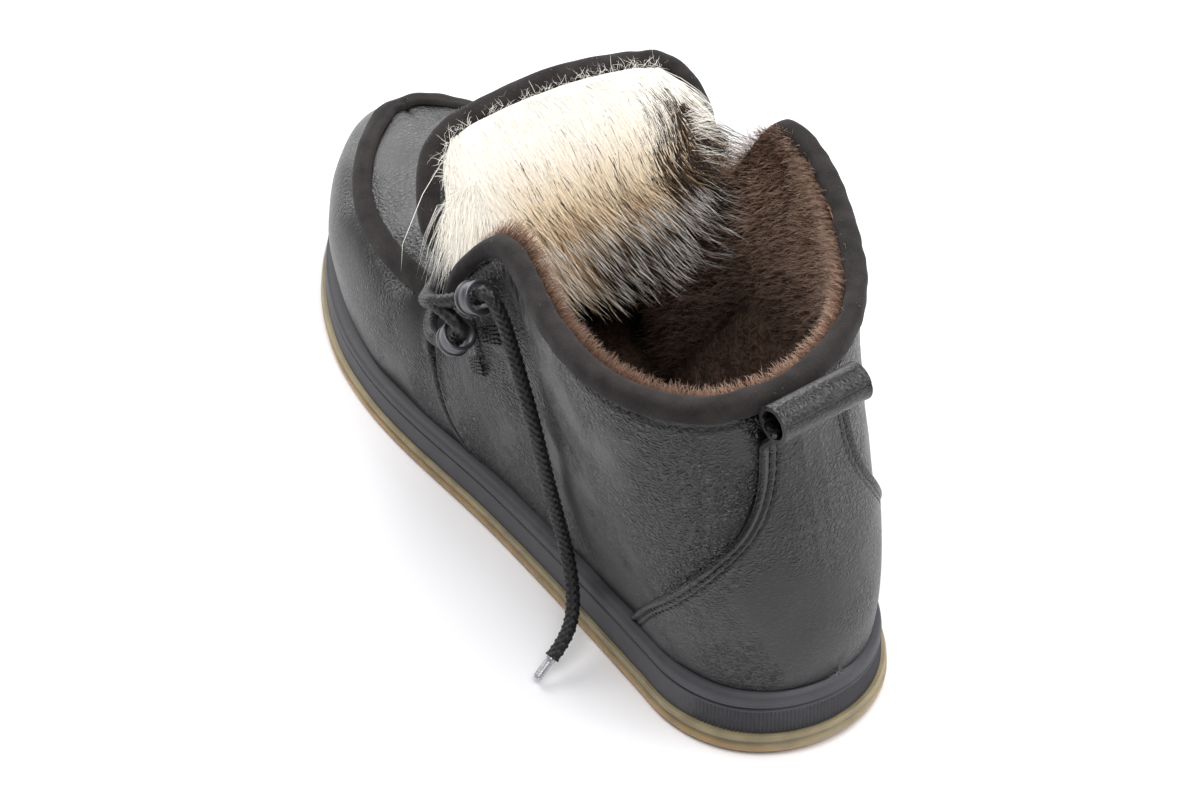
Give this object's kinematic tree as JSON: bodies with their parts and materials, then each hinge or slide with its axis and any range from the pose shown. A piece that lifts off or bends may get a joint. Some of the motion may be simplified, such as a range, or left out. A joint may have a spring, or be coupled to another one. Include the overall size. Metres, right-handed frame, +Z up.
{
  "type": "lace-up ankle boot",
  "caption": "Left lace-up ankle boot with moccasin toe, bound collar, fur-faced tongue turned forward, lace loops, pull loop at the heel and a ribbed wedge sole on gum rubber.",
  "frame": {"origin": "on the floor under the flat of the sole, at mid-length on the heel's centre line", "axes": "+Y towards the toe, +X towards the inner side of the foot, +Z up from the floor"},
  "size_m": [0.1376, 0.3002, 0.1292],
  "materials": {
    "leather": "pebbled, semi-matte",
    "suede": "napped, matte",
    "midsole": "moulded, matte",
    "gum": "translucent, satin",
    "footbed": "short woolly pile",
    "fur": "long fur",
    "cord": "round braid, matte",
    "loop": "glossy black",
    "tip": "satin silver"
  },
  "bodies": {
    "root": {"outsole": "gum", "midsole": "midsole", "insole": "footbed", "upper": "leather", "heel_counter": "leather", "collar_binding": "suede", "apron_binding": "suede", "tongue": "leather", "tongue_hem": "suede", "tongue_fur": "fur", "pull_loop": "leather", "lace_loop_upper_lateral": "loop", "lace_loop_lower_lateral": "loop", "lace_loop_upper_medial": "loop", "lace_loop_lower_medial": "loop", "lace_tab_upper_lateral": "leather", "lace_tab_lower_lateral": "leather", "lace_tab_upper_medial": "leather", "lace_tab_lower_medial": "leather", "lace_crossings": "cord", "lace_end_lateral": "cord", "lace_tip_lateral": "tip"}
  },
  "joints": []
}
